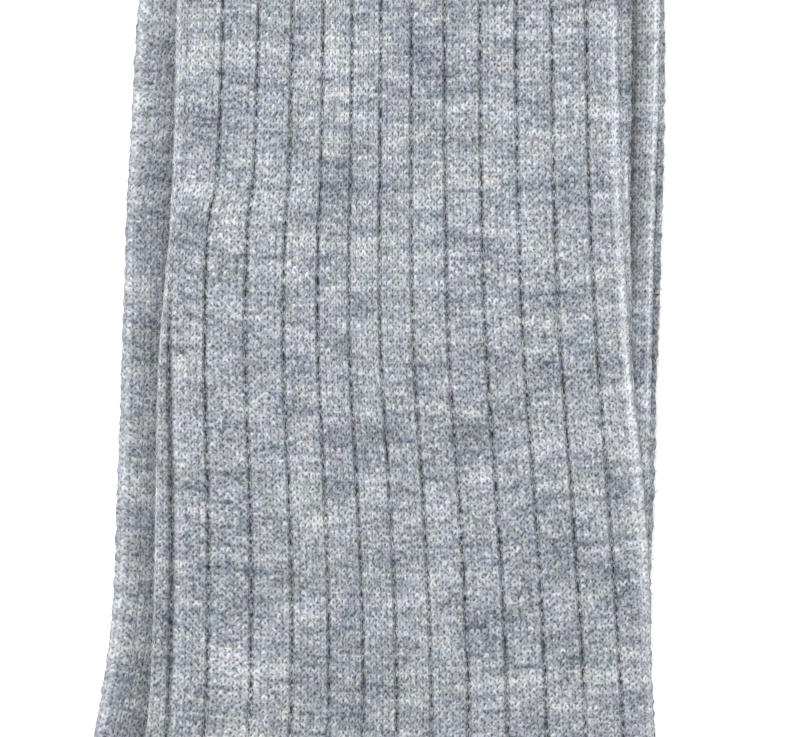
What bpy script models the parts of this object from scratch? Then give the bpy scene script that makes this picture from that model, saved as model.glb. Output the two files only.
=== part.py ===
"""A pair of ribbed wool socks, laid flat, one on the other.

Each sock is a knitted tube pressed flat. Its wall runs from the open cuff down the leg, round the
heel and along the foot to the closed toe. A sock is built as a loft: every section is a straight
line across the flat sock, from its back edge (back of the leg, heel, sole) to its front edge (front
of the leg, instep), thickened to a flat tube with round edges and, on the upper face, ribs. The
sections turn like a fan at the heel. The inside of the cloth is a second loft through the same
sections, a wall's thickness further in, and joins the outside at the cuff's edge.

Plan positions are in millimetres, +X to the toes and +Y up the leg. +Z is up from the surface that
the pair lies on.
"""
import math
from collections import namedtuple

import bmesh
import bpy
import numpy as np

MM = 0.001                # metres in a millimetre

WALL = 1.5                # thickness of the knitted cloth
SOCK_THICKNESS = 3.9      # one flat sock: two walls and the slit between them
SOCK_GAP = 0.3            # air between the lower sock and the upper one
CUFF_SWELL = 0.5          # how much thicker the elastic cuff of the upper sock lies
HEEL_SWELL = 0.6          # how much thicker its heel pocket lies

GROOVES_ACROSS = 12       # grooves between the ribs on the upper face of a flat leg
GROOVE_DEPTH = 0.45
GROOVE_HALF_WIDTH = 0.9   # on a leg as wide as UPPER_LEG_WIDTH, and less where the sock is narrower
GROOVE_SHARE = 0.99       # share of that width that a groove takes, so that two never touch
UPPER_LEG_WIDTH = 86.5    # the upper sock's flat leg
RIB_CROWDING = 0.01       # how far the ribs crowd to the middle, as a share of the way across them
SOLE_SHARE = 0.5          # share of the foot's height that is plain sole

BOTTOM_POINTS = 8         # points of a section along its flat underside
EDGE_STEPS = 4            # facets round each folded edge
SECTIONS_BETWEEN = 2      # lofted sections for each row of the tables below
TOE_END_SECTIONS = 2      # sections at the toe's end that only the outside of the cloth has

WOOL_GREY = (0.37, 0.40, 0.43, 1.0)
WOOL_ROUGHNESS = 0.95

# One row for each section: where its back edge and its front edge are; where its first and last
# groove are, as shares of the way from back edge to front edge; how deep its grooves are at the
# back and at the front, as shares of GROOVE_DEPTH; and how much thicker it lies.
Section = namedtuple("Section", "place back_x back_y front_x front_y first last back_rib front_rib swell")

LOWER_SOCK = (
    Section("cuff edge", -46.5, 150.0, 49.0, 150.0, 0.100, 0.930, 1.0, 1.0, 0.0),
    Section("cuff foot", -47.6, 112.0, 49.6, 112.0, 0.100, 0.930, 1.0, 1.0, 0.0),
    Section("upper leg", -49.5, 69.0, 49.9, 69.0, 0.100, 0.930, 1.0, 1.0, 0.0),
    Section("calf", -52.2, 23.5, 49.5, 23.5, 0.100, 0.930, 1.0, 1.0, 0.0),
    Section("lower leg", -53.5, -20.0, 48.2, -20.0, 0.100, 0.930, 1.0, 1.0, 0.0),
    Section("above heel", -54.5, -48.0, 47.3, -50.0, 0.100, 0.930, 0.6, 1.0, 0.0),
    Section("heel start", -58.4, -72.0, 47.0, -72.0, 0.100, 0.930, 0.0, 1.0, 0.0),
    Section("heel back", -64.0, -98.0, 48.2, -86.0, 0.100, 0.930, 0.0, 1.0, 0.0),
    Section("heel swell", -67.0, -125.0, 52.4, -97.5, 0.100, 0.930, 0.0, 1.0, 0.0),
    Section("heel turn", -62.0, -152.0, 58.6, -105.0, 0.100, 0.930, 0.0, 1.0, 0.0),
    Section("heel base", -45.0, -170.5, 65.2, -109.0, 0.100, 0.930, 0.0, 1.0, 0.0),
    Section("heel end", -18.0, -177.0, 73.0, -111.5, 0.100, 0.930, 0.0, 1.0, 0.0),
    Section("arch", 18.0, -178.5, 84.5, -113.5, 0.100, 0.930, 0.0, 1.0, 0.0),
    Section("mid foot", 60.0, -179.5, 101.5, -115.5, 0.100, 0.930, 0.0, 1.0, 0.0),
    Section("ball", 100.0, -181.0, 120.5, -118.0, 0.100, 0.930, 0.0, 1.0, 0.0),
    Section("toe start", 132.0, -182.0, 141.0, -121.5, 0.100, 0.930, 0.0, 0.6, 0.0),
    Section("toe", 150.0, -180.3, 157.0, -125.8, 0.100, 0.930, 0.0, 0.0, 0.0),
    Section("toe curve", 164.5, -176.0, 170.0, -133.0, 0.100, 0.930, 0.0, 0.0, 0.0),
    Section("toe round", 175.5, -168.5, 178.5, -141.5, 0.100, 0.930, 0.0, 0.0, 0.0),
    Section("toe end", 182.0, -159.0, 182.8, -150.5, 0.100, 0.930, 0.0, 0.0, 0.0),
)

UPPER_SOCK = (
    Section("cuff edge", -42.0, 146.0, 43.0, 147.5, 0.100, 0.905, 1.0, 1.0, CUFF_SWELL),
    Section("cuff foot", -42.6, 109.0, 43.3, 110.0, 0.100, 0.907, 1.0, 1.0, CUFF_SWELL),
    Section("upper leg", -43.0, 67.0, 43.4, 67.0, 0.100, 0.909, 1.0, 1.0, 0.0),
    Section("calf", -44.9, 26.0, 43.4, 26.0, 0.102, 0.921, 1.0, 1.0, 0.0),
    Section("mid leg", -46.9, 2.0, 43.9, 2.0, 0.107, 0.932, 1.0, 1.0, 0.0),
    Section("lower leg", -47.6, -22.0, 45.6, -22.0, 0.117, 0.935, 1.0, 1.0, 0.0),
    Section("above heel", -48.2, -50.0, 47.6, -50.0, 0.121, 0.936, 1.0, 1.0, 0.0),
    Section("heel start", -50.0, -73.0, 48.8, -71.0, 0.125, 0.938, 0.4, 1.0, 0.0),
    Section("heel back", -54.6, -98.0, 50.2, -86.0, 0.120, 0.935, 0.0, 1.0, 0.5 * HEEL_SWELL),
    Section("heel swell", -59.0, -123.0, 54.2, -98.5, 0.120, 0.935, 0.0, 1.0, HEEL_SWELL),
    Section("heel turn", -56.0, -148.0, 60.2, -106.5, 0.120, 0.935, 0.0, 1.0, HEEL_SWELL),
    Section("heel base", -41.5, -166.0, 66.6, -110.5, 0.120, 0.935, 0.0, 1.0, 0.5 * HEEL_SWELL),
    Section("heel end", -16.0, -173.0, 74.0, -113.0, 0.120, 0.935, 0.0, 1.0, 0.0),
    Section("arch", 18.0, -174.5, 85.0, -115.0, 0.120, 0.935, 0.0, 1.0, 0.0),
    Section("mid foot", 57.0, -175.5, 101.0, -117.0, 0.120, 0.935, 0.0, 1.0, 0.0),
    Section("ball", 95.0, -177.0, 118.0, -119.5, 0.120, 0.935, 0.0, 1.0, 0.0),
    Section("toe start", 126.0, -178.0, 136.5, -123.0, 0.120, 0.935, 0.0, 0.6, 0.0),
    Section("toe", 143.0, -176.3, 151.5, -127.3, 0.120, 0.935, 0.0, 0.0, 0.0),
    Section("toe curve", 156.5, -172.0, 163.0, -134.0, 0.120, 0.935, 0.0, 0.0, 0.0),
    Section("toe round", 167.0, -165.0, 170.7, -141.5, 0.120, 0.935, 0.0, 0.0, 0.0),
    Section("toe end", 173.2, -156.5, 174.2, -149.0, 0.120, 0.935, 0.0, 0.0, 0.0),
)


def clear_scene():
    for item in list(bpy.data.objects):
        bpy.data.objects.remove(item, do_unlink=True)


def make_material(name, colour, roughness):
    material = bpy.data.materials.new(name)
    material.use_nodes = True
    shader = material.node_tree.nodes["Principled BSDF"]
    shader.inputs["Base Color"].default_value = colour
    shader.inputs["Roughness"].default_value = roughness
    return material


def smooth_rows(rows):
    """Every column of a table, on a smooth cubic through its rows, a few sections for each row."""
    values = np.array([row[1:] for row in rows], dtype=float)
    middles = 0.5 * (values[:, 0:2] + values[:, 2:4])
    steps = np.hypot(*np.diff(middles, axis=0).T)
    along = np.concatenate(([0.0], np.cumsum(steps)))
    slopes = np.gradient(values, along, axis=0)
    places = np.interp(np.arange((len(rows) - 1) * SECTIONS_BETWEEN + 1) / SECTIONS_BETWEEN,
                       np.arange(len(rows)), along)
    left = np.clip(np.searchsorted(along, places, side="right") - 1, 0, len(rows) - 2)
    length = (along[left + 1] - along[left])[:, None]
    t = ((places - along[left])[:, None]) / length
    return (values[left] * (2 * t**3 - 3 * t**2 + 1) + slopes[left] * length * (t**3 - 2 * t**2 + t)
            + values[left + 1] * (3 * t**2 - 2 * t**3) + slopes[left + 1] * length * (t**3 - t**2))


def groove_places(first, last):
    """Shares of the way across at which the grooves are, crowded a little to the middle."""
    even = np.arange(GROOVES_ACROSS) / (GROOVES_ACROSS - 1)
    return first + (last - first) * (even + RIB_CROWDING * np.sin(2.0 * math.pi * even))


def section_ring(row, base, inset):
    """Points round one section: upper face, front edge, underside, back edge.

    inset is 0 on the outside of the cloth and the wall's thickness on its inside, where the ribs
    don't show. A folded edge is half a circle on both sides of the wall.
    """
    back_x, back_y, front_x, front_y, first, last, back_rib, front_rib, swell = row
    back = np.array((back_x, back_y))
    across = np.array((front_x, front_y)) - back
    width = float(np.hypot(*across))
    across = across / width
    middle = 0.5 * (SOCK_THICKNESS + swell)
    radius = middle - inset
    flat = width - 2.0 * middle
    profile = []
    half_groove = GROOVE_HALF_WIDTH * min(width / UPPER_LEG_WIDTH, 1.0)
    for place in groove_places(first, last):
        rib = back_rib if place < SOLE_SHARE else front_rib
        depth = 0.0 if inset else GROOVE_DEPTH * min(max(rib, 0.0), 1.0)
        centre = min(max(place * width, middle + half_groove), middle + flat - half_groove)
        profile.append((centre - GROOVE_SHARE * half_groove, middle + radius))
        profile.append((centre, middle + radius - depth))
        profile.append((centre + GROOVE_SHARE * half_groove, middle + radius))
    for step in range(EDGE_STEPS + 1):
        angle = math.pi * (0.5 - step / EDGE_STEPS)
        profile.append((middle + flat + radius * math.cos(angle), middle + radius * math.sin(angle)))
    for step in range(1, BOTTOM_POINTS):
        profile.append((middle + flat * (1.0 - step / BOTTOM_POINTS), middle - radius))
    for step in range(EDGE_STEPS + 1):
        angle = math.pi * (0.5 + step / EDGE_STEPS)
        profile.append((middle + radius * math.cos(angle), middle - radius * math.sin(angle)))
    return [(*(back + across * place), base + height) for place, height in profile]


def loft(mesh, rows, base, inset, origin):
    """Rings of vertices through the sections of rows, joined by faces, with a cap on the last."""
    rings = []
    for row in rows:
        rings.append([mesh.verts.new(((x - origin[0]) * MM, (y - origin[1]) * MM, z * MM))
                      for x, y, z in section_ring(row, base, inset)])
    for upper, lower in zip(rings, rings[1:]):
        join_rings(mesh, upper, lower)
    mesh.faces.new(rings[-1])
    return rings[0]


def join_rings(mesh, upper, lower):
    for i in range(len(upper)):
        j = (i + 1) % len(upper)
        mesh.faces.new((upper[i], upper[j], lower[j], lower[i]))


def build_sock(name, rows, base, origin, material, collection):
    """One sock: the outside and the inside of its cloth, joined at the cuff's edge.

    Both are lofts, because sections of unlike width and turn follow each other. The inside stops
    short of the toe, so that the toe's end is closed cloth too.
    """
    sections = smooth_rows(rows)
    mesh = bmesh.new()
    outside = loft(mesh, sections, base, 0.0, origin)
    inside = loft(mesh, sections[:-TOE_END_SECTIONS], base, WALL, origin)
    join_rings(mesh, outside, inside)
    bmesh.ops.recalc_face_normals(mesh, faces=mesh.faces)
    bmesh.ops.triangulate(mesh, faces=mesh.faces)
    data = bpy.data.meshes.new(name)
    mesh.to_mesh(data)
    mesh.free()
    data.materials.append(material)
    sock = bpy.data.objects.new(name, data)
    collection.objects.link(sock)
    return sock


def plan_centre():
    """Middle of the box round both socks, seen from above."""
    edges = np.concatenate([smooth_rows(rows)[:, :4].reshape(-1, 2)
                            for rows in (LOWER_SOCK, UPPER_SOCK)])
    return 0.5 * (edges.min(axis=0) + edges.max(axis=0))


def build_pair():
    clear_scene()
    collection = bpy.data.collections.new("pair_of_socks")
    bpy.context.scene.collection.children.link(collection)
    wool = make_material("grey wool knit", WOOL_GREY, WOOL_ROUGHNESS)
    origin = plan_centre()
    build_sock("sock_lower", LOWER_SOCK, 0.0, origin, wool, collection)
    build_sock("sock_upper", UPPER_SOCK, SOCK_THICKNESS + SOCK_GAP, origin, wool, collection)
    print("plan centre, mm:", origin)


build_pair()
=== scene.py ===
"""A pair of ribbed wool socks, laid flat one on the other, knitted in heathered grey wool.

Every piece is one closed skin of cloth. It is a grid: its rows are courses along the sock, its
columns are wales round it, and a sock's flat tube says where each crossing of the two lies.
"""
import math
from collections import namedtuple
from types import SimpleNamespace

import bpy
import numpy as np
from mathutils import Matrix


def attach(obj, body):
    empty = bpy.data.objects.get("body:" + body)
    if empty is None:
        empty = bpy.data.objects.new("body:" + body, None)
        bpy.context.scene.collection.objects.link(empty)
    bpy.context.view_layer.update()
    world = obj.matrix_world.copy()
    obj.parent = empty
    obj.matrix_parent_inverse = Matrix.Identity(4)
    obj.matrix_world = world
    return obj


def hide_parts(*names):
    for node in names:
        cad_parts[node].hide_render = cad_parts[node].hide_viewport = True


bl_info = {
    "name": "Pair of ribbed wool socks",
    "version": (1, 0, 0),
    "blender": (4, 5, 0),
    "location": "View3D > Sidebar > Socks",
    "description": "Knits two ribbed wool socks and lays them flat, one on the other",
    "category": "Add Mesh",
}

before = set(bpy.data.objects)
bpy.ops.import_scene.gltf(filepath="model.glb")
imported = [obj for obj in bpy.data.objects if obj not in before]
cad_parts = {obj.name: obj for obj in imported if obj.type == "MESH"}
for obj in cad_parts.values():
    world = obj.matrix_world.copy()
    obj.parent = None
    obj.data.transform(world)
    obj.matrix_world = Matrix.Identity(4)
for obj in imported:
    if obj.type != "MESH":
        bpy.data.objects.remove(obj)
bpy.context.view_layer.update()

MM = 0.001
BODY = "root"

# ---------------------------------------------------------------- the knitting, counted in stitches

RIB_WALES = 6             # five knit wales and a purl wale
RIBS_ROUND = 28
WALES_ROUND = RIBS_ROUND * RIB_WALES
FACE_RIBS = 13            # the last rib line of the upper face, counted from the back
PURL_SHARE = 0.1          # share of a rib's width that its sunken purl wale takes
CUFF_RIB_WALES = 2        # the cuff is knit one, purl one
PLAIN_HALF_BAND = 1.9     # ribs either side of the back that are knitted plain

# ---------------------------------------------------------------- the flat socks, in millimetres

PHOTO_CENTRE = (-57.9, 16.0)    # where the middle of the photograph's frame is, seen from above
PHOTO_WIDTH = 152.4             # width of what the photograph shows

# One row for each section of a flat sock: its back edge, its front edge, the first and last rib
# line as shares of the way across, how ribbed it is at the back and at the front, and how much
# thicker it lies. Positions are from the middle of the photograph's frame.
Section = namedtuple("Section", "place back_x back_y front_x front_y first last back_rib front_rib swell")

CUFF_SWELL = 0.5
HEEL_SWELL = 0.6

# The last five columns, where several sections share them.
LOWER_LEG = (0.229, 0.938, 1.0, 1.0, 0.0)
LOWER_FOOT = (0.200, 0.928, 0.0, 1.0, 0.0)
LOWER_TOE = (0.200, 0.928, 0.0, 0.0, 0.0)
UPPER_HEEL = (0.120, 0.935, 0.0, 1.0, HEEL_SWELL)
UPPER_HEEL_ENDS = (0.120, 0.935, 0.0, 1.0, 0.5 * HEEL_SWELL)
UPPER_FOOT = (0.120, 0.935, 0.0, 1.0, 0.0)
UPPER_TOE = (0.120, 0.935, 0.0, 0.0, 0.0)

LOWER_SECTIONS = (
    Section("cuff edge", -46.5, 150.0, 49.0, 150.0, *LOWER_LEG),
    Section("cuff foot", -47.6, 112.0, 49.6, 112.0, *LOWER_LEG),
    Section("upper leg", -49.5, 69.0, 49.9, 69.0, *LOWER_LEG),
    Section("calf", -52.2, 23.5, 49.5, 23.5, 0.229, 0.933, 1.0, 1.0, 0.0),
    Section("lower leg", -53.5, -20.0, 48.2, -20.0, 0.229, 0.936, 1.0, 1.0, 0.0),
    Section("above heel", -54.5, -48.0, 47.3, -50.0, 0.229, 0.934, 0.6, 1.0, 0.0),
    Section("heel start", -58.4, -72.0, 47.0, -72.0, 0.225, 0.928, 0.0, 1.0, 0.0),
    Section("heel back", -64.0, -98.0, 48.2, -86.0, 0.220, 0.928, 0.0, 1.0, 0.0),
    Section("heel swell", -67.0, -125.0, 52.4, -97.5, 0.210, 0.928, 0.0, 1.0, 0.0),
    Section("heel turn", -62.0, -152.0, 58.6, -105.0, *LOWER_FOOT),
    Section("heel base", -45.0, -170.5, 65.2, -109.0, *LOWER_FOOT),
    Section("heel end", -18.0, -177.0, 73.0, -111.5, *LOWER_FOOT),
    Section("arch", 18.0, -178.5, 84.5, -113.5, *LOWER_FOOT),
    Section("mid foot", 60.0, -179.5, 101.5, -115.5, *LOWER_FOOT),
    Section("ball", 100.0, -181.0, 120.5, -118.0, *LOWER_FOOT),
    Section("toe start", 132.0, -182.0, 141.0, -121.5, 0.200, 0.928, 0.0, 0.6, 0.0),
    Section("toe", 150.0, -180.3, 157.0, -125.8, *LOWER_TOE),
    Section("toe curve", 164.5, -176.0, 170.0, -133.0, *LOWER_TOE),
    Section("toe round", 175.5, -168.5, 178.5, -141.5, *LOWER_TOE),
    Section("toe end", 182.0, -159.0, 182.8, -150.5, *LOWER_TOE),
)

UPPER_SECTIONS = (
    Section("cuff edge", -42.0, 146.0, 43.0, 147.5, 0.100, 0.905, 1.0, 1.0, CUFF_SWELL),
    Section("cuff foot", -42.6, 109.0, 43.3, 110.0, 0.100, 0.907, 1.0, 1.0, CUFF_SWELL),
    Section("upper leg", -43.0, 67.0, 43.4, 67.0, 0.100, 0.909, 1.0, 1.0, 0.0),
    Section("calf", -44.9, 26.0, 43.4, 26.0, 0.102, 0.921, 1.0, 1.0, 0.0),
    Section("mid leg", -46.9, 2.0, 43.9, 2.0, 0.107, 0.932, 1.0, 1.0, 0.0),
    Section("lower leg", -47.6, -22.0, 45.6, -22.0, 0.117, 0.935, 1.0, 1.0, 0.0),
    Section("above heel", -48.2, -50.0, 47.6, -50.0, 0.121, 0.936, 1.0, 1.0, 0.0),
    Section("heel start", -50.0, -73.0, 48.8, -71.0, 0.125, 0.938, 0.8, 1.0, 0.0),
    Section("heel back", -54.6, -98.0, 50.2, -86.0, *UPPER_HEEL_ENDS),
    Section("heel swell", -59.0, -123.0, 54.2, -98.5, *UPPER_HEEL),
    Section("heel turn", -56.0, -148.0, 60.2, -106.5, *UPPER_HEEL),
    Section("heel base", -41.5, -166.0, 66.6, -110.5, *UPPER_HEEL_ENDS),
    Section("heel end", -16.0, -173.0, 74.0, -113.0, *UPPER_FOOT),
    Section("arch", 18.0, -174.5, 85.0, -115.0, *UPPER_FOOT),
    Section("mid foot", 57.0, -175.5, 101.0, -117.0, *UPPER_FOOT),
    Section("ball", 95.0, -177.0, 118.0, -119.5, *UPPER_FOOT),
    Section("toe start", 126.0, -178.0, 136.5, -123.0, 0.120, 0.935, 0.0, 0.6, 0.0),
    Section("toe", 143.0, -176.3, 151.5, -127.3, *UPPER_TOE),
    Section("toe curve", 156.5, -172.0, 163.0, -134.0, *UPPER_TOE),
    Section("toe round", 167.0, -165.0, 170.7, -141.5, *UPPER_TOE),
    Section("toe end", 173.2, -156.5, 174.2, -149.0, *UPPER_TOE),
)

LEG_ROWS = 9              # rows of the upper sock's table down to its heel

# Strength of the rib lines that aren't like the rest: (line, distances along, strengths).
UPPER_LINES = (
    (0, (38.0, 80.0, 118.0, 130.0, 140.0, 150.0, 175.0, 205.0, 222.0, 240.0),
     (1.0, 0.15, 0.1, 0.05, 1.0, 1.45, 1.5, 1.45, 1.1, 0.2)),
    (13, (38.0, 60.0, 134.0, 160.0), (1.0, 0.5, 0.5, 0.25)),
)
LOWER_LINES = (
    (12, (38.0, 60.0, 120.0, 165.0), (1.0, 0.5, 0.6, 0.3)),
    (13, (38.0, 60.0, 95.0, 120.0, 150.0, 165.0), (1.0, 0.3, 0.25, 0.8, 0.8, 0.4)),
)

# How far the cloth stands out at the back and the front fold: distances along, back, front.
UPPER_OUTSETS = (
    (60.0, 90.0, 110.0, 134.0, 151.0, 173.0, 191.0, 208.0, 222.0, 250.0),
    (0.0, -0.33, -0.8, -0.85, -0.9, -1.0, -1.1, -1.3, -1.4, 0.0),
    (1.0, 0.95, 0.65, 0.75, 0.65, 1.2, 1.0, 0.1, 0.1, 0.1),
)
LOWER_OUTSETS = (
    (40.0, 91.0, 114.0, 134.0, 154.0, 176.0, 194.0, 211.0, 240.0),
    (0.5, 0.87, 0.68, 0.4, 0.5, 0.68, 0.97, 0.78, 0.3),
    (0.5, 0.97, 0.87, 0.58, 0.5, 0.7, 0.6, 0.3, 0.3),
)

# How much painted highlight lightens the cloth on the turn of a fold, or painted shade
# darkens it below 0: distances, back, front.
UPPER_FOLD_LIGHT = ((88.0, 118.0, 140.0, 165.0), (0.7, 0.7, 0.7, 1.0), (-0.4, 1.0, 1.0, 1.0))
LOWER_FOLD_LIGHT = ((60.0, 95.0, 120.0, 141.0, 160.0, 220.0), (0.7, 0.7, 0.7, 0.8, 0.9, 1.0),
                    (0.2, 0.1, -0.3, -0.2, 0.0, 0.2))

# Painted shadow of the upper sock's leg on the lower sock beside it: how much light it keeps off,
# by height on the page, and how far that reaches. Below 0 it is painted light, and the lower sock
# is lighter there.
BACK_SHADE = ((20.0, 60.0), (0.52, 0.62))
BACK_SHADE_REACH = 3.0
BACK_SHADE_START = 0.8
FRONT_SHADE = ((-25.0, 0.0, 10.0, 20.0, 45.0), (-0.45, -0.35, -0.25, 0.35, 0.57))
FRONT_SHADE_REACH = ((10.0, 30.0), (2.6, 3.4))
SHADE_ENDS = (-95.0, -75.0)

# Soft troughs in the cloth, and ridges where the depth is negative: each runs between two points
# seen from above, and is there on both faces of the sock.
Crease = namedtuple("Crease", "from_x from_y to_x to_y half_width depth")

CREASE_BOW = 0.08         # how far a crease bows off a straight line, as a share of its length
CREASE_COMES, CREASE_FADES = (-0.15, 0.25), (0.6, 1.15)     # shares of its length

UPPER_CREASES = (
    Crease(52.0, -92.0, 14.0, -70.0, 3.4, 0.50),
    Crease(56.0, -101.0, 2.0, -103.0, 4.0, 0.55),
    Crease(63.0, -109.0, 34.0, -142.0, 3.6, 0.45),
    Crease(55.0, -97.0, 18.0, -86.0, 3.0, -0.22),
    Crease(60.0, -105.0, 24.0, -124.0, 3.2, -0.22),
    Crease(-52.0, -150.0, -24.0, -128.0, 5.0, 0.35),
    Crease(78.0, -128.0, 104.0, -164.0, 5.5, 0.32),
    Crease(104.0, -125.0, 121.0, -168.0, 6.0, 0.28),
    Crease(-30.0, 62.0, 12.0, 44.0, 7.0, 0.16),
    Crease(-26.0, -20.0, 22.0, -34.0, 8.0, 0.16),
    Crease(-38.0, 100.0, 20.0, 92.0, 6.0, 0.22),
)

LOWER_CREASES = (
    Crease(50.0, -90.0, 8.0, -66.0, 3.4, 0.40),
    Crease(55.0, -99.0, 0.0, -101.0, 4.0, 0.45),
    Crease(62.0, -107.0, 30.0, -143.0, 3.6, 0.40),
    Crease(-60.0, -152.0, -28.0, -126.0, 5.0, 0.30),
    Crease(84.0, -126.0, 108.0, -168.0, 5.5, 0.28),
    Crease(-36.0, 58.0, 20.0, 40.0, 7.0, 0.20),
    Crease(-30.0, -24.0, 26.0, -40.0, 8.0, 0.20),
)


def length_property(name, description, millimetres):
    """A length that the panel shows in the scene's units; the defaults are given in millimetres."""
    return bpy.props.FloatProperty(name=name, description=description, default=millimetres * MM,
                                   min=0.0, precision=5, unit="LENGTH")


def colour_property(name, description, colour):
    return bpy.props.FloatVectorProperty(name=name, description=description, subtype="COLOR", size=3,
                                         min=0.0, max=1.0, default=colour)


class SockSizes(bpy.types.PropertyGroup):
    """Sizes of the knitting that a user may change."""
    wall: length_property("Cloth", "Thickness of the knitted cloth", 1.5)
    thickness: length_property("Flat sock", "Height of one sock pressed flat", 3.9)
    gap: length_property("Gap", "Air between the two socks", 0.3)
    course: length_property("Course", "Height of one row of stitches", 1.19)
    groove: length_property("Groove", "How deep a purl wale sinks between two ribs", 0.6)
    groove_width: length_property("Groove width", "Half width of such a groove", 0.3)
    wale: length_property("Wale relief", "Depth of the line between two wales", 0.05)
    crown: length_property("Rib crown", "How much a rib rises in its middle", 0.08)
    cuff_rib: length_property("Cuff rib", "Depth of the cuff's fine ribs", 0.45)
    fibre_length: length_property("Fibre length", "Mean length of a loose fibre", 1.4)
    fibre_radius: length_property("Fibre radius", "Radius of a loose fibre at its root", 0.036)
    fibres: bpy.props.IntProperty(
        name="Loose fibres", description="How many loose fibres stand off each sock", default=9000,
        min=0)


class WoolColours(bpy.types.PropertyGroup):
    """Colours of the three wools that the yarn is blended from."""
    dark: colour_property("Dark fibres", "Darkest of the blended wools", (0.112, 0.140, 0.186))
    middle: colour_property("Middle", "Colour of most of the yarn", (0.387, 0.415, 0.452))
    light: colour_property("Light fibres", "Lightest of the blended wools", (0.77, 0.79, 0.82))


def property_names(group):
    return [key for key in group.bl_rna.properties.keys() if key not in ("rna_type", "name")]


def sizes():
    """The panel's sizes, with the lengths in millimetres."""
    group = bpy.context.scene.sock_sizes
    values = {key: getattr(group, key) for key in property_names(group)}
    return SimpleNamespace(**{key: value / MM if isinstance(value, float) else value
                              for key, value in values.items()})


def colours():
    return bpy.context.scene.wool_colours


# ---------------------------------------------------------------- the flat sock as a surface

def bend(x, low, high):
    """Smooth step from 0 at low to 1 at high."""
    t = np.clip((x - low) / (high - low), 0.0, 1.0)
    return t * t * (3.0 - 2.0 * t)


def fall(x, low, high):
    """Smooth step from 1 at low down to 0 at high."""
    return 1.0 - bend(x, low, high)


def bell(x, half_width):
    """A bell that is 1 at 0: e to the power of minus the square of x over the half width."""
    return np.exp(-((x / half_width) ** 2))


def uneven(x, y, wavelength, seed, waves=7):
    """Smooth unevenness between about -1 and 1: a sum of sine waves in seeded directions."""
    rng = np.random.default_rng(seed)
    total = np.zeros(np.broadcast(x, y).shape)
    for _ in range(waves):
        turn, start = rng.uniform(0.0, 2.0 * math.pi, 2)
        size = 2.0 * math.pi / (wavelength * rng.uniform(0.7, 1.6))
        total += np.sin(size * (x * math.cos(turn) + y * math.sin(turn)) + start)
    return total / math.sqrt(waves)


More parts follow.
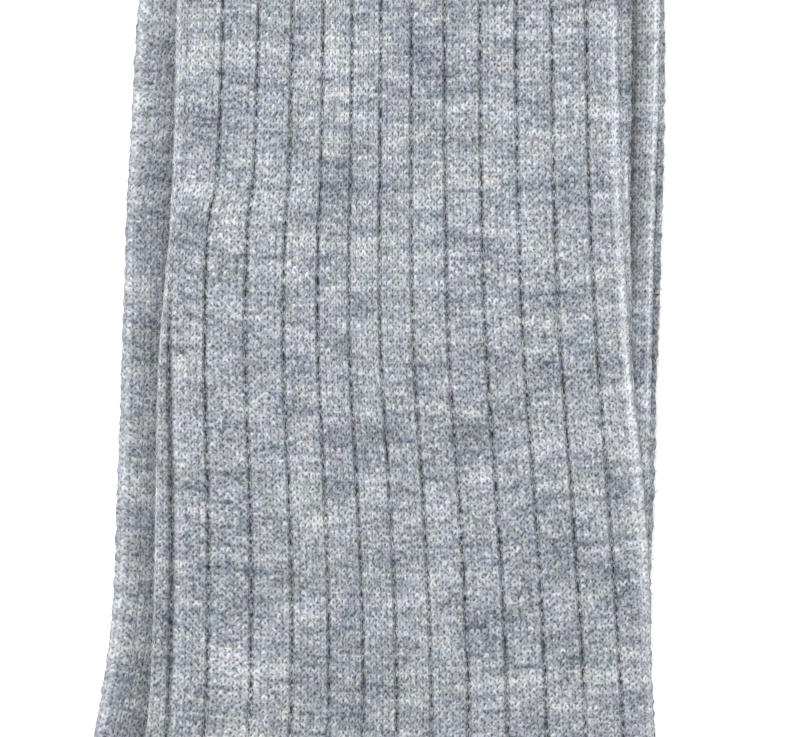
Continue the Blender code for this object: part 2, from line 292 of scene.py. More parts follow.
class FlatSock:
    """A knitted tube pressed flat, from the cuff's edge (along = 0 mm) to the toe's end.

    Rib lines are numbered across the upper face from the back. What each sock has of its own is
    given by name: base is the height it lies at, first_rib the first line to keep the face's
    spacing, plain_centre the rib at the middle of the plain band down the back, ridge the rib
    number of the little ridge beside the front fold, fold_wales the wales at the back and the
    front fold, columns the wale numbers of its columns of points, and seed starts its unevenness.
    outsets, lines, fold_light and creases are the tables above.
    """

    def __init__(self, name, sections, **own):
        self.name = name
        self.above = None
        self.__dict__.update(own)
        self.values = np.array([row[1:] for row in sections], dtype=float)
        middles = 0.5 * (self.values[:, 0:2] + self.values[:, 2:4])
        steps = np.hypot(*np.diff(middles, axis=0).T)
        self.knots = np.concatenate(([0.0], np.cumsum(steps)))
        self.slopes = np.gradient(self.values, self.knots, axis=0)
        self.places_at = {row.place: float(knot) for row, knot in zip(sections, self.knots)}

    def section_at(self, along):
        """The table's columns at any distance along: a cubic through its rows, straight past its ends."""
        inside = np.clip(along, self.knots[0], self.knots[-1])
        left = np.clip(np.searchsorted(self.knots, inside, side="right") - 1, 0, len(self.knots) - 2)
        length = (self.knots[left + 1] - self.knots[left])[..., None]
        t = (inside - self.knots[left])[..., None] / length
        value = (self.values[left] * (2 * t**3 - 3 * t**2 + 1)
                 + self.slopes[left] * length * (t**3 - 2 * t**2 + t)
                 + self.values[left + 1] * (3 * t**2 - 2 * t**3)
                 + self.slopes[left + 1] * length * (t**3 - t**2))
        end_slope = np.where((along < self.knots[0])[..., None], self.slopes[0], self.slopes[-1])
        edges_only = np.append(np.ones(4), np.zeros(5))
        past = (along - inside)[..., None] * edges_only
        return np.moveaxis(value + past * end_slope, -1, 0)

    def rib_of_wale(self, wale, along):
        """Rib number of a wale number: the purl wale at each whole rib is squeezed narrow.

        On the cuff the wales are evenly wide instead.
        """
        rib = np.floor(wale / RIB_WALES)
        local = wale - rib * RIB_WALES
        half = 0.5 * PURL_SHARE
        squeezed = np.interp(local, (0.0, 0.5, RIB_WALES - 0.5, RIB_WALES), (0.0, half, 1.0 - half, 1.0))
        foot = self.places_at["cuff foot"]
        even = local / RIB_WALES
        return rib + even + (squeezed - even) * bend(along, foot - 5.0, foot + 1.0)

    def smile(self, along):
        """How far a course's ends lie higher than its middle, in mm: 0 at the cuff and at the toe."""
        on_leg, at_heel = 0.9, 2.6
        heel, toe = self.places_at["heel start"], self.places_at["toe start"]
        return (on_leg * bend(along, 0.0, 80.0) + at_heel * bend(along, 90.0, heel)
                - (on_leg + at_heel) * bend(along, heel, toe))

    def ribbing(self, rib, share, along, back_rib, front_rib):
        """How ribbed the cloth is, from 0 to 1: plain down the back, on the heel and on the sole."""
        half_round, blend = 0.5 * RIBS_ROUND, 0.3
        off_back = np.abs(np.mod(rib - self.plain_centre + half_round, RIBS_ROUND) - half_round)
        band = bend(off_back, PLAIN_HALF_BAND - blend, PLAIN_HALF_BAND + blend)
        front = bend(share, 0.46, 0.54)
        below_cuff = bend(along, self.places_at["cuff foot"] - 2.0, self.places_at["cuff foot"] + 1.0)
        return below_cuff * band * np.clip(back_rib + (front_rib - back_rib) * front, 0.0, 1.0)

    def line_strength(self, rib, along):
        """How strong each rib line is, by its number and the distance along.

        The outer lines fade. On the upper sock the line nearest the back fold is lost in the fold
        for a while, and further down it is a sharp crease.
        """
        line = np.round(rib)
        strength = np.ones(np.broadcast(rib, along).shape)
        for number, places, values in self.lines:
            strength = np.where(line == number, np.interp(along, places, values), strength)
        return strength

    def shaded(self, x, y):
        """Painted shadow that the sock above throws on this one beside the edges of its leg, and painted
        light below 0.
        """
        if self.above is None:
            return np.zeros(np.broadcast(x, y).shape)
        back_x, back_y, front_x, front_y = self.above.values[LEG_ROWS - 1::-1, :4].T
        behind = np.maximum(np.interp(y, back_y, back_x) + BACK_SHADE_START - x, 0.0)
        before = np.maximum(x - np.interp(y, front_y, front_x), 0.0)
        back_shade = np.interp(y, *BACK_SHADE) * np.exp(-behind / BACK_SHADE_REACH)
        front_shade = np.interp(y, *FRONT_SHADE) * bell(before, np.interp(y, *FRONT_SHADE_REACH))
        return bend(y, *SHADE_ENDS) * np.where(before > 0.0, front_shade, back_shade)

    def gore(self, along, share):
        """The lines where a pocket's short rows meet: across the heel's back half, and along the toe."""
        foot_width, tip_share = 60.0, 0.25
        heel_line, toe_line = 1.0, 0.9
        middle = 0.5 * (self.places_at["heel start"] + self.places_at["heel end"])
        heel = bell(along - middle, heel_line) * fall(share, 0.49, 0.51)
        start, end = self.places_at["toe start"], self.knots[-1]
        width = foot_width * (1.0 - (1.0 - tip_share) * bend(along, start, end))
        toe = bell((share - 0.5) * width, toe_line) * bend(along, start, start + 1.0)
        return np.clip(heel + toe, 0.0, 1.0)

    def linking(self, along, share):
        """The raised seam that closes the toe: it crosses the instep half where the toe starts."""
        past_start, half_width = 1.5, 0.8
        place = self.places_at["toe start"] + past_start
        return bell(along - place, half_width) * bend(share, 0.47, 0.5)


# How the rib lines of a face lie beside an even spacing, as shares of the face's width: crowded to
# the middle, leaning with the distance along, and with a little kink by the back fold. The second
# group holds the distances along over which the lean and the kink come and go.
LINE_CROWDING = (0.013, 0.008)
LINE_LEAN = (-0.012, 0.020)
KINK_BEFORE, KINK_AFTER, KINK_REACH = 0.009, 0.011, 0.2

LEAN_GROWS = (80.0, 215.0)
KINK_COMES, KINK_TURNS, KINK_FADES = (50.0, 80.0), (110.0, 121.0), (122.0, 150.0)


def around_of_rib(sock, rib, first, last, width, middle, along):
    """Distance round the flat tube at which a rib lies, from the back fold over the upper face.

    Lines 1 to 12 lie between the first and the last line's shares of the width, a little crowded
    to the middle. The ribs before and after them keep the same pitch, and the underside takes the
    rest of the ribs evenly.
    """
    quarter = 0.5 * math.pi * middle
    gaps_between = FACE_RIBS - 2.0
    even = np.clip((rib - 1.0) / gaps_between, 0.0, 1.0)
    crowd = LINE_CROWDING[0] * np.sin(2.0 * math.pi * even) + LINE_CROWDING[1] * np.sin(3.0 * math.pi * even)
    lean = (LINE_LEAN[0] + LINE_LEAN[1] * bend(along, *LEAN_GROWS)) * np.sin(math.pi * even)
    kink = KINK_BEFORE + KINK_AFTER * fall(along, *KINK_FADES)
    step = (KINK_BEFORE - bend(along, *KINK_TURNS) * kink) * bend(along, *KINK_COMES)
    share = first + (last - first) * (even + crowd + lean + step * np.exp(-even / KINK_REACH))
    pitch = (last - first) * width / gaps_between
    outer = np.minimum(rib - 1.0, 0.0) + np.maximum(rib - FACE_RIBS + 1.0, 0.0)
    fold = quarter - middle
    top = fold + share * width + pitch * outer
    start = fold + (first + (last - first) * step) * width + pitch * (sock.first_rib - 1.0)
    end = fold + last * width + pitch
    under = start + 2.0 * (width - 2.0 * middle) + 2.0 * math.pi * middle - end
    ribs_under = RIBS_ROUND - FACE_RIBS + sock.first_rib
    below = end + (rib - FACE_RIBS) * under / ribs_under
    before = start + (rib - sock.first_rib) * under / ribs_under
    return np.where(rib > FACE_RIBS, below, np.where(rib < sock.first_rib, before, top))


def tube_profile(around, width, middle):
    """Across, up and normal of a flat tube's section: two flats joined by half circles."""
    flat = width - 2.0 * middle
    quarter = 0.5 * math.pi * middle
    up = 0.5 * math.pi
    around = np.mod(around, 2.0 * flat + 2.0 * math.pi * middle)
    nothing = 0.0 * around
    front = quarter + flat
    under = front + 2.0 * quarter
    back = under + flat
    spans = [around < quarter, around < front, around < under, around < back]
    angle = np.select(spans, [math.pi - around / middle, up + nothing, up - (around - front) / middle,
                              nothing - up], -up - (around - back) / middle)
    centre = np.select(spans, [middle + nothing, middle + around - quarter, width - middle + nothing,
                               width - middle - around + under], middle + nothing)
    normal_across, normal_up = np.cos(angle), np.sin(angle)
    return centre + middle * normal_across, middle + middle * normal_up, normal_across, normal_up


def crease_depth(creases, x, y):
    """Depth of the soft creases at points seen from above: a bell across each, fading at its ends."""
    depth = np.zeros(np.broadcast(x, y).shape)
    for crease in creases:
        dx, dy = crease.to_x - crease.from_x, crease.to_y - crease.from_y
        length = math.hypot(dx, dy)
        t = ((x - crease.from_x) * dx + (y - crease.from_y) * dy) / length**2
        bow = CREASE_BOW * length * (t - 0.5) ** 2
        off = ((x - crease.from_x) * dy - (y - crease.from_y) * dx) / length + bow
        ends = bend(t, *CREASE_COMES) * fall(t, *CREASE_FADES)
        depth += crease.depth * bell(off, crease.half_width) * ends
    return depth


# Relief of the cloth, in mm, and how uneven it is.
RIB_SHARE = 0.9           # pitch of the ribs, as a share of the face's width over its ribs
LINE_UNEVEN, LINE_WAVELENGTH = 0.25, 26.0   # the first as a share of the grooves' depth
SOFT_UNEVEN, SOFT_WAVELENGTH = 0.10, 30.0
EDGE_UNEVEN, EDGE_WAVELENGTH = 0.2, 2.6
GORE_DEPTH = 0.25
LINKING_HEIGHT = 0.5
NAP = 0.08                # how far the smooth tube lies outside the cloth

# Painted highlight and painted shade in the yarn's colour: on the turn of a fold (shade where the
# fold's table is below 0), along the upper sock's front edge, on the little ridge beside the front
# fold, beside the crease by the back fold, and painted shade in that crease.
FOLD_TURN, FOLD_HALF_WIDTH = 0.66, 0.3      # as the part of the normal that points sideways
RIM_LIGHT, RIM_REACH, RIM_COMES = 0.55, 2.2, (140.0, 190.0)
RIDGE_LIGHT, RIDGE_HALF_WIDTH, RIDGE_FADES = 1.45, 0.07, (150.0, 170.0)
CREASE_SHADE, CREASE_REACH = 0.38, 0.95
BESIDE_LIGHT, BESIDE_PLACE, BESIDE_HALF_WIDTH = 0.75, 0.2, 0.09


def cloth_relief(sock, s, along, wale, rib, line, from_line, share, normal_up, rib_sides, place):
    """How far the cloth stands out of the smooth tube, how ribbed it is, and where its seams are.

    The relief is a sum: a bell-shaped groove at each rib line, a low crown on each rib, a fine line
    between wales, the cuff's ribs, slow unevenness, the creases and the seams.
    """
    foot = sock.places_at["cuff foot"]
    ribbed = sock.ribbing(rib, share, along, *rib_sides)
    cuff = fall(along, foot - 3.0, foot)
    strength = (1.0 + LINE_UNEVEN * uneven(np.round(rib) * 40.0, along, LINE_WAVELENGTH, sock.seed)) * line
    line_width = s.groove_width * np.maximum(1.0, 1.6 * line - 0.6)
    groove = -s.groove * strength * bell(from_line, line_width)
    crown = s.crown * (np.sin(math.pi * np.mod(rib, 1.0)) ** 0.6 - 1.0)
    wale_line = -s.wale * np.abs(np.cos(math.pi * np.mod(wale + 0.5, 1.0))) ** 3
    cuff_line = -s.cuff_rib * np.cos(math.pi * wale / CUFF_RIB_WALES) ** 2
    flats = np.abs(normal_up) ** 2
    soft = SOFT_UNEVEN * uneven(*place, SOFT_WAVELENGTH, sock.seed + 1) * flats
    creases = crease_depth(sock.creases, *place) * flats
    gore, linking = sock.gore(along, share), sock.linking(along, share)
    rise = (ribbed * (groove + crown) + cuff * cuff_line + wale_line + soft - creases
            - GORE_DEPTH * gore + LINKING_HEIGHT * linking * bend(normal_up, -0.6, -0.1) - NAP)
    return rise, ribbed, np.clip(gore + linking, 0.0, 1.0)


def sock_points(sock, along, wale, lift=0.0, relief=1.0, squeeze=1.0):
    """Points of a sock's cloth, in mm, for arrays along the sock (rows) and round it (wales).

    lift moves a point out along the surface's normal, relief scales the ribs, wales and creases,
    and squeeze draws a section together about its middle. A course sags in the middle, so that
    the section is read a little nearer the cuff towards the edges. The second value is a table of
    what the materials ask about each point, and the third is the share of the way across.
    """
    s = sizes()
    along, wale, lift, relief, squeeze = np.broadcast_arrays(along, wale, lift, relief, squeeze)
    rib = sock.rib_of_wale(wale, along)

    def section(at):
        back_x, back_y, front_x, front_y, first, last, back_rib, front_rib, swell = sock.section_at(at)
        width = np.hypot(front_x - back_x, front_y - back_y)
        middle = np.minimum(0.5 * (s.thickness + swell), 0.49 * width)
        around = around_of_rib(sock, rib, first, last, width, middle, along)
        profile = tube_profile(around, width, middle)
        return back_x, back_y, front_x, front_y, back_rib, front_rib, width, middle, profile

    *_, width, _, profile = section(along)
    share = profile[0] / width
    bowed = along - sock.smile(along) * (2.0 * share - 1.0) ** 2
    back_x, back_y, front_x, front_y, back_rib, front_rib, width, middle, profile = section(bowed)
    across, up, normal_across, normal_up = profile
    x_step, y_step = (front_x - back_x) / width, (front_y - back_y) / width
    flat_x, flat_y = back_x + x_step * across, back_y + y_step * across

    line = sock.line_strength(rib, along)
    from_line = np.abs(rib - np.round(rib)) * RIB_SHARE * width / FACE_RIBS
    rise, ribbed, seam = cloth_relief(sock, s, along, wale, rib, line, from_line, across / width,
                                      normal_up, (back_rib, front_rib), (flat_x, flat_y))

    def at_folds(table):
        places, at_back, at_front = table
        return np.where(normal_across < 0.0, np.interp(along, places, at_back),
                        np.interp(along, places, at_front))

    outset = at_folds(sock.outsets) + EDGE_UNEVEN * uneven(along, 3.0 * wale, EDGE_WAVELENGTH, sock.seed + 3)
    out = lift + relief * (rise + outset * normal_across**2)
    out_across, out_up = across + normal_across * out, up + normal_up * out
    out_across = 0.5 * width + (out_across - 0.5 * width) * squeeze
    out_up = np.maximum(middle + (out_up - middle) * squeeze, 0.0)
    x = back_x + x_step * out_across + PHOTO_CENTRE[0]
    y = back_y + y_step * out_across + PHOTO_CENTRE[1]

    # Masks for painted light: lit is painted highlight on folds, the front edge and the ridge (painted shade
    # below 0), and shaded is painted shade in the crease plus painted shadow from the sock above.
    on_top = bend(normal_up, 0.0, 0.3)
    fold = bell(np.abs(normal_across) - FOLD_TURN, FOLD_HALF_WIDTH) * on_top * at_folds(sock.fold_light)
    if sock.above is None:
        fold = fold + RIM_LIGHT * bell(width - across, RIM_REACH) * on_top * bend(along, *RIM_COMES)
    ridge = bell(rib - sock.ridge, RIDGE_HALF_WIDTH) * on_top * fall(along, *RIDGE_FADES)
    folded = 2.0 * np.clip(line - 1.0, 0.0, 0.5)
    crease = CREASE_SHADE * folded * bell(from_line, CREASE_REACH)
    beside = BESIDE_LIGHT * folded * bell(rib - BESIDE_PLACE, BESIDE_HALF_WIDTH)
    masks = {"ribbed": ribbed * np.minimum(line, 1.0), "seam": seam,
             "lit": fold + beside + RIDGE_LIGHT * ridge,
             "shaded": on_top * (crease + sock.shaded(x - PHOTO_CENTRE[0], y - PHOTO_CENTRE[1]))}
    return np.stack([x, y, sock.base + out_up], axis=-1), masks, share


FINE_RIB = tuple(np.arange(0.0, RIB_WALES, 0.25))
COARSE_RIB = (0.0, 0.5, 1.75, 3.0, 4.25, 5.5)


def wale_columns(*spans):
    """Wale numbers of the columns round a sock, from spans of ribs: (first rib, past the last, fine)."""
    return np.concatenate([RIB_WALES * rib + np.array(FINE_RIB if fine else COARSE_RIB)
                           for start, end, fine in spans for rib in range(start, end)])


# ---------------------------------------------------------------- meshes

def new_mesh(name, points, corners, starts):
    """A smooth mesh from points in mm, the point of each face's corner, and where each face starts."""
    mesh = bpy.data.meshes.new(name)
    mesh.vertices.add(len(points))
    mesh.vertices.foreach_set("co", (points * MM).astype(np.float32).ravel())
    mesh.loops.add(len(corners))
    mesh.loops.foreach_set("vertex_index", corners.astype(np.int32))
    mesh.polygons.add(len(starts))
    mesh.polygons.foreach_set("loop_start", starts.astype(np.int32))
    mesh.update(calc_edges=True)
    mesh.shade_smooth()
    return mesh


def add_mask(mesh, label, values):
    """A value at each point, for the materials to read."""
    mesh.attributes.new(label, "FLOAT", "POINT").data.foreach_set("value", values.astype(np.float32).ravel())


def mesh_from_grid(name, points, maps, masks, sharp_rows, closed=True, split=None):
    """A mesh from a grid of points that is closed round its columns.

    closed joins the last row to the first; else each end is filled with one face. maps holds the
    knit map, one row and one column larger than the points so that it doesn't jump at the seams,
    and a second such map that the rows from split on read.
    """
    rows, columns = points.shape[:2]
    r, c = np.meshgrid(np.arange(rows if closed else rows - 1), np.arange(columns), indexing="ij")
    r, c = r.ravel(), c.ravel()
    corner_rows = np.stack([r, r + 1, r + 1, r], axis=1)
    corner_columns = np.stack([c, c, c + 1, c + 1], axis=1)
    quads = ((corner_rows % rows) * columns + corner_columns % columns).ravel()
    late = corner_rows[:, :1] >= (rows + 1 if split is None else split)
    knit = np.where(late[..., None], maps[1][corner_rows, corner_columns],
                    maps[0][corner_rows, corner_columns]).reshape(-1, 2)
    starts = np.arange(len(r)) * 4
    if not closed:
        ends = np.concatenate([np.arange(columns)[::-1], (rows - 1) * columns + np.arange(columns)])
        quads = np.concatenate([quads, ends])
        knit = np.concatenate([knit, maps[0][ends // columns, ends % columns]])
        starts = np.append(starts, 4 * len(r) + np.array([0, columns]))
    mesh = new_mesh(name, points.reshape(-1, 3), quads, starts)
    mesh.uv_layers.new(name="knit").uv.foreach_set("vector", knit.astype(np.float32).ravel())
    for label, values in masks.items():
        add_mask(mesh, label, values)
    edge_points = np.empty(2 * len(mesh.edges), dtype=np.int32)
    mesh.edges.foreach_get("vertices", edge_points)
    edge_rows = edge_points.reshape(-1, 2) // columns
    sharp = (edge_rows[:, 0] == edge_rows[:, 1]) & np.isin(edge_rows[:, 0], sharp_rows)
    mesh.attributes.new("sharp_edge", "BOOLEAN", "EDGE").data.foreach_set("value", sharp)
    return mesh


def add_piece(mesh, material):
    mesh.materials.append(material)
    piece = bpy.data.objects.new(mesh.name, mesh)
    bpy.context.scene.collection.objects.link(piece)
    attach(piece, BODY)
    return piece


def knit_map(sock, along, wales):
    """The map of wales and courses for a grid's rows and columns, with one more of each."""
    u = np.append(wales, wales[0] + WALES_ROUND)
    v = np.append(along, along[0]) / sizes().course + 100.0 * sock.seed
    return np.stack(np.meshgrid(u, v), axis=-1)


def declare_cloth(sock, start, end):
    """Hide the sock's part from model.glb, and work out the mean round of the stretch, which nothing uses.
    """
    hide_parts(sock.name)
    back_x, back_y, front_x, front_y = sock.section_at(np.linspace(start, end, 20))[:4]
    around = 2.0 * np.hypot(front_x - back_x, front_y - back_y).mean() + sizes().thickness


INSIDE_ROWS = 12          # rows of points down the inside of a tube
RIM_STEPS = 5             # rows round the rim of the cuff
NOSE, INNER_NOSE = 1.0, 0.3     # how far the toe's outside and inside end past their last sections
NOSE_STEPS = 8
NOSE_TURN = 0.46 * math.pi


def knit_tube(sock, name, start, end, step, wales, material, rim=False, heel=False):
    """A length of the sock's tube as one closed skin: down the outside and back up the inside.

    A rim rounds the skin's edge at the start, as at the top of the cuff. A heel's back half has
    more courses than its front, and its map counts them from both ends to the gore line.
    """
    s = sizes()
    outside = np.linspace(start, end, int(round((end - start) / step)) + 1)
    inside = np.linspace(end, start, INSIDE_ROWS)
    turn = np.linspace(0.0, math.pi, RIM_STEPS + 2)[1:-1] if rim else np.empty(0)
    half = 0.5 * s.wall
    along = np.concatenate([outside, inside, start - half * np.sin(turn)])
    lift = np.concatenate([0.0 * outside, 0.0 * inside - s.wall, -half * (1.0 + np.cos(turn))])
    relief = np.concatenate([1.0 + 0.0 * outside, 0.0 * inside, 0.5 - 0.5 * np.cos(turn)])
    points, masks, share = sock_points(sock, along[:, None], wales, lift[:, None], relief[:, None])
    plain_map = knit_map(sock, along, wales)
    maps, split = (plain_map, plain_map), None
    if heel:
        steps = np.linalg.norm(np.diff(points[:len(outside)], axis=0), axis=-1)
        run = np.concatenate([np.zeros((1, len(wales))), np.cumsum(steps, axis=0)])
        back_half = fall(share[:len(outside)], 0.44, 0.5)
        down = back_half * (run - (outside - start)[:, None])
        up = down - back_half * (run[-1] - (end - start))
        split = len(outside) // 2
        maps = (plain_map.copy(), plain_map.copy())
        for each, extra in zip(maps, (down, up)):
            each[:len(outside), :-1, 1] += extra / s.course
            each[:len(outside), -1, 1] += extra[:, 0] / s.course
    edges = [len(outside) - 1, len(outside)] + ([] if rim else [0, len(outside) + INSIDE_ROWS - 1])
    mesh = mesh_from_grid(name, points, maps, masks, edges, split=split)
    return add_piece(mesh, material)


def knit_toe(sock, name, start, wales, material):
    """The closed end: one skin from the inside's tip back to the start and forward to the outside's.

    Past the last section the tube narrows as a quarter circle turns, so that it ends in a blunt nose.
    """
    s = sizes()
    end = sock.knots[-1]
    turn = np.linspace(0.0, NOSE_TURN, NOSE_STEPS + 1)[1:]
    inner_turn = turn[::-1]
    outside = np.linspace(start, end, int(round((end - start) / s.course)) + 1)
    inside = np.linspace(end - s.wall, start, INSIDE_ROWS)
    along = np.concatenate([end - s.wall + INNER_NOSE * np.sin(inner_turn), inside,
                            outside, end + NOSE * np.sin(turn)])
    first_outside = len(inner_turn) + len(inside)
    relief = (np.arange(len(along)) >= first_outside).astype(float)
    lift = s.wall * (relief - 1.0)
    squeeze = np.concatenate([np.cos(inner_turn), 1.0 + 0.0 * inside, 1.0 + 0.0 * outside, np.cos(turn)])
    points, masks, _ = sock_points(sock, along[:, None], wales, lift[:, None], relief[:, None],
                                   squeeze[:, None])
    plain_map = knit_map(sock, along, wales)
    mesh = mesh_from_grid(name, points, (plain_map, plain_map), masks,
                          (first_outside - 1, first_outside), closed=False)
    return add_piece(mesh, material)


AT_FOLDS = 0.85           # share of the loose fibres that stand near a fold
FOLD_SPREAD = 1.0         # how far from the fold they stand, in wales
LENGTH_SPREAD = 0.35      # how much their lengths differ, as the spread of the logarithm
RISE = (0.15, 0.6)        # how high a fibre stands, as shares of its length
CURL = (-0.35, 0.35)      # how far it curls to one side
RING_SHARES = (-0.06, 0.36, 0.72, 1.0)      # where along a fibre its rings and its tip are
RING_RADII = (1.0, 0.9, 0.7)
FIBRE_SIDES = 3
FIBRE_ARCH, FIBRE_REACH = 1.9, 0.9      # the turn a fibre makes as it rises, and its run along the cloth


def loose_fibres(sock, name, start, end, material):
    """Short curved fibres that stand off the cloth, more of them at the folds.

    Each is a three-sided tube through three rings and a tip. It starts in the cloth, leaves it at a
    shallow angle and curls to one side.
    """
    s = sizes()
    rng = np.random.default_rng(sock.seed + 5)
    count = s.fibres
    along = rng.uniform(start, end, count)
    at_fold = rng.random(count) < AT_FOLDS
    side = np.where(rng.random(count) < 0.5, *sock.fold_wales)
    wale = np.where(at_fold, side + rng.normal(0.0, FOLD_SPREAD, count),
                    rng.uniform(*sock.fold_wales, count))
    root = sock_points(sock, along, wale)[0]
    normal = sock_points(sock, along, wale, 0.5)[0] - root
    normal /= np.maximum(np.linalg.norm(normal, axis=1, keepdims=True), 1e-6)
    tangent = rng.normal(0.0, 1.0, (count, 3))
    tangent -= (tangent * normal).sum(axis=1, keepdims=True) * normal
    tangent /= np.linalg.norm(tangent, axis=1, keepdims=True)
    sideways = np.cross(normal, tangent)
    length = s.fibre_length * rng.lognormal(0.0, LENGTH_SPREAD, count)[:, None]
    height = length * rng.uniform(*RISE, count)[:, None]
    curl = length * rng.uniform(*CURL, count)[:, None]
    t = np.array(RING_SHARES)[:, None, None]
    path = (root + normal * height * np.sin(FIBRE_ARCH * t) + tangent * length * t * FIBRE_REACH
            + sideways * curl * t**2)
    clear = path[..., 2].min(axis=0) > 2.0 * s.fibre_radius
    path, normal, sideways, count = path[:, clear], normal[clear], sideways[clear], int(clear.sum())

    radius = s.fibre_radius * np.array(RING_RADII)[:, None, None, None]
    turn = (np.arange(FIBRE_SIDES) * 2.0 * math.pi / FIBRE_SIDES)[:, None]
    around = normal[:, None, :] * np.cos(turn) + sideways[:, None, :] * np.sin(turn)
    rings = (path[:3, :, None, :] + radius * around).transpose(1, 0, 2, 3).reshape(count, -1, 3)
    points = np.concatenate([rings, path[3][:, None, :]], axis=1)
    tip = points.shape[1] - 1
    a, b = np.arange(FIBRE_SIDES), (np.arange(FIBRE_SIDES) + 1) % FIBRE_SIDES
    last, low, high = tip - FIBRE_SIDES, np.append(a, a + FIBRE_SIDES), np.append(b, b + FIBRE_SIDES)
    faces = np.concatenate([np.stack([low, high, high + FIBRE_SIDES], axis=1),
                            np.stack([low, high + FIBRE_SIDES, low + FIBRE_SIDES], axis=1),
                            np.stack([last + a, last + b, np.full(FIBRE_SIDES, tip)], axis=1), [[2, 1, 0]]])
    corners = (np.arange(count)[:, None, None] * (tip + 1) + faces).ravel()
    mesh = new_mesh(name, points.reshape(-1, 3), corners, np.arange(0, len(corners), 3))
    add_mask(mesh, "shade", np.repeat(rng.random(count), tip + 1))
    return add_piece(mesh, material)


# ---------------------------------------------------------------- materials

class Wiring:
    """Short calls that add nodes to one tree and join them."""

    def __init__(self, tree):
        self.tree = tree

    def join(self, source, target):
        if isinstance(source, bpy.types.NodeSocket):
            self.tree.links.new(source, target)
        else:
            target.default_value = source

    def node(self, kind, *values, **settings):
        """A node with its settings, and with values or other nodes' outputs for its first inputs."""
        made = self.tree.nodes.new(kind)
        for key, value in settings.items():
            setattr(made, key, value)
        for socket, value in zip(made.inputs, values):
            if value is not None:
                self.join(value, socket)
        return made

    def math(self, operation, *values, clamp=False):
        return self.node("ShaderNodeMath", *values, operation=operation, use_clamp=clamp).outputs[0]

    def plus(self, a, b, **settings):
        return self.math("ADD", a, b, **settings)

    def minus(self, a, b, **settings):
        return self.math("SUBTRACT", a, b, **settings)

    def times(self, a, b, **settings):
        return self.math("MULTIPLY", a, b, **settings)

    def times_plus(self, a, b, c):
        return self.math("MULTIPLY_ADD", a, b, c)

    def vector(self, x, y, z):
        return self.node("ShaderNodeCombineXYZ", x, y, z).outputs[0]

    def parts(self, vector):
        return self.node("ShaderNodeSeparateXYZ", vector).outputs

    def vector_math(self, operation, a, b):
        made = self.node("ShaderNodeVectorMath", a, operation=operation)
        self.join(b, made.inputs["Scale" if operation == "SCALE" else 1])
        return made.outputs[0]

    def noise(self, vector, scale, detail, rough, output="Fac"):
        return self.node("ShaderNodeTexNoise", vector, None, scale, detail, rough).outputs[output]

    def chance(self, vector):
        return self.node("ShaderNodeTexWhiteNoise", vector).outputs["Value"]

    def ramp(self, value, low, high, start=0.0, end=1.0, kind="SMOOTHSTEP"):
        return self.node("ShaderNodeMapRange", value, low, high, start, end,
                         interpolation_type=kind).outputs[0]

    def blend(self, share, a, b):
        """A colour between two others, by a share from 0 to 1."""
        made = self.node("ShaderNodeMix", share, data_type="RGBA")
        self.join(a, made.inputs[6])
        self.join(b, made.inputs[7])
        return made.outputs[2]


def shared_group(name, inputs, outputs, fill):
    """A node group made once, with named sockets. inputs holds (name, kind, default)."""
    group = bpy.data.node_groups.get(name)
    if group is None:
        group = bpy.data.node_groups.new(name, "ShaderNodeTree")
        for label, kind, default in inputs:
            socket = group.interface.new_socket(label, in_out="INPUT", socket_type=kind)
            if default is not None:
                socket.default_value = default
        for label, kind in outputs:
            group.interface.new_socket(label, in_out="OUTPUT", socket_type=kind)
        w = Wiring(group)
        given = w.node("NodeGroupInput").outputs
        wanted = w.node("NodeGroupOutput").inputs
        for label, value in fill(w, given).items():
            w.join(value, wanted[label])
    return group


def material_once(name, roughness, specular, fill):
    """A material that is made the first time it is asked for. fill wires its shader."""
    material = bpy.data.materials.get(name)
    if material is None:
        material = bpy.data.materials.new(name)
        material.use_nodes = True
        shader = material.node_tree.nodes["Principled BSDF"]
        shader.inputs["Roughness"].default_value = roughness
        shader.inputs["Specular IOR Level"].default_value = specular
        fill(Wiring(material.node_tree), shader.inputs)
    return material


MIDDLE_GREY = (0.5, 0.5, 0.5)
LEG_SLANT = 0.8           # how far a leg of yarn falls from the wale's middle to its side, in courses
MAP_WOBBLE = 0.6          # how far noise pushes the stitches about, in stitches
PURL_BLUR = (0.62, 0.12)  # from the purl wale's middle to where its shade ends and is full
PURL_JITTER = 0.5         # how far that edge wanders
LEG_ROUNDNESS = 0.8
DOT_SHARPNESS = 1.1
ALONG_LEG, AT_DOTS = 0.2, 0.8               # how open a gap is along a leg, and how much more at its dots
PULL = (0.31, 0.67, 0.0, 1.7)               # from the pull's noise to how far a gap opens
WALE_EDGE = (1.0, 0.7, 0.70, 1.0)           # from the wale's edge inwards, to the height there

# Noises: scale, detail and roughness.
WOBBLE_NOISE = (0.75, 2.0, 0.6)
PULL_NOISE = (1.25, 2.0, 0.7)
TUFT_NOISE = (1.3, 2.0, 0.6)
HAIR_NOISE = (1.0, 1.0, 0.5)
TEAR_NOISE = (0.9, 3.0, 0.75)
NAP_NOISE = (4.0, 3.0, 0.65)


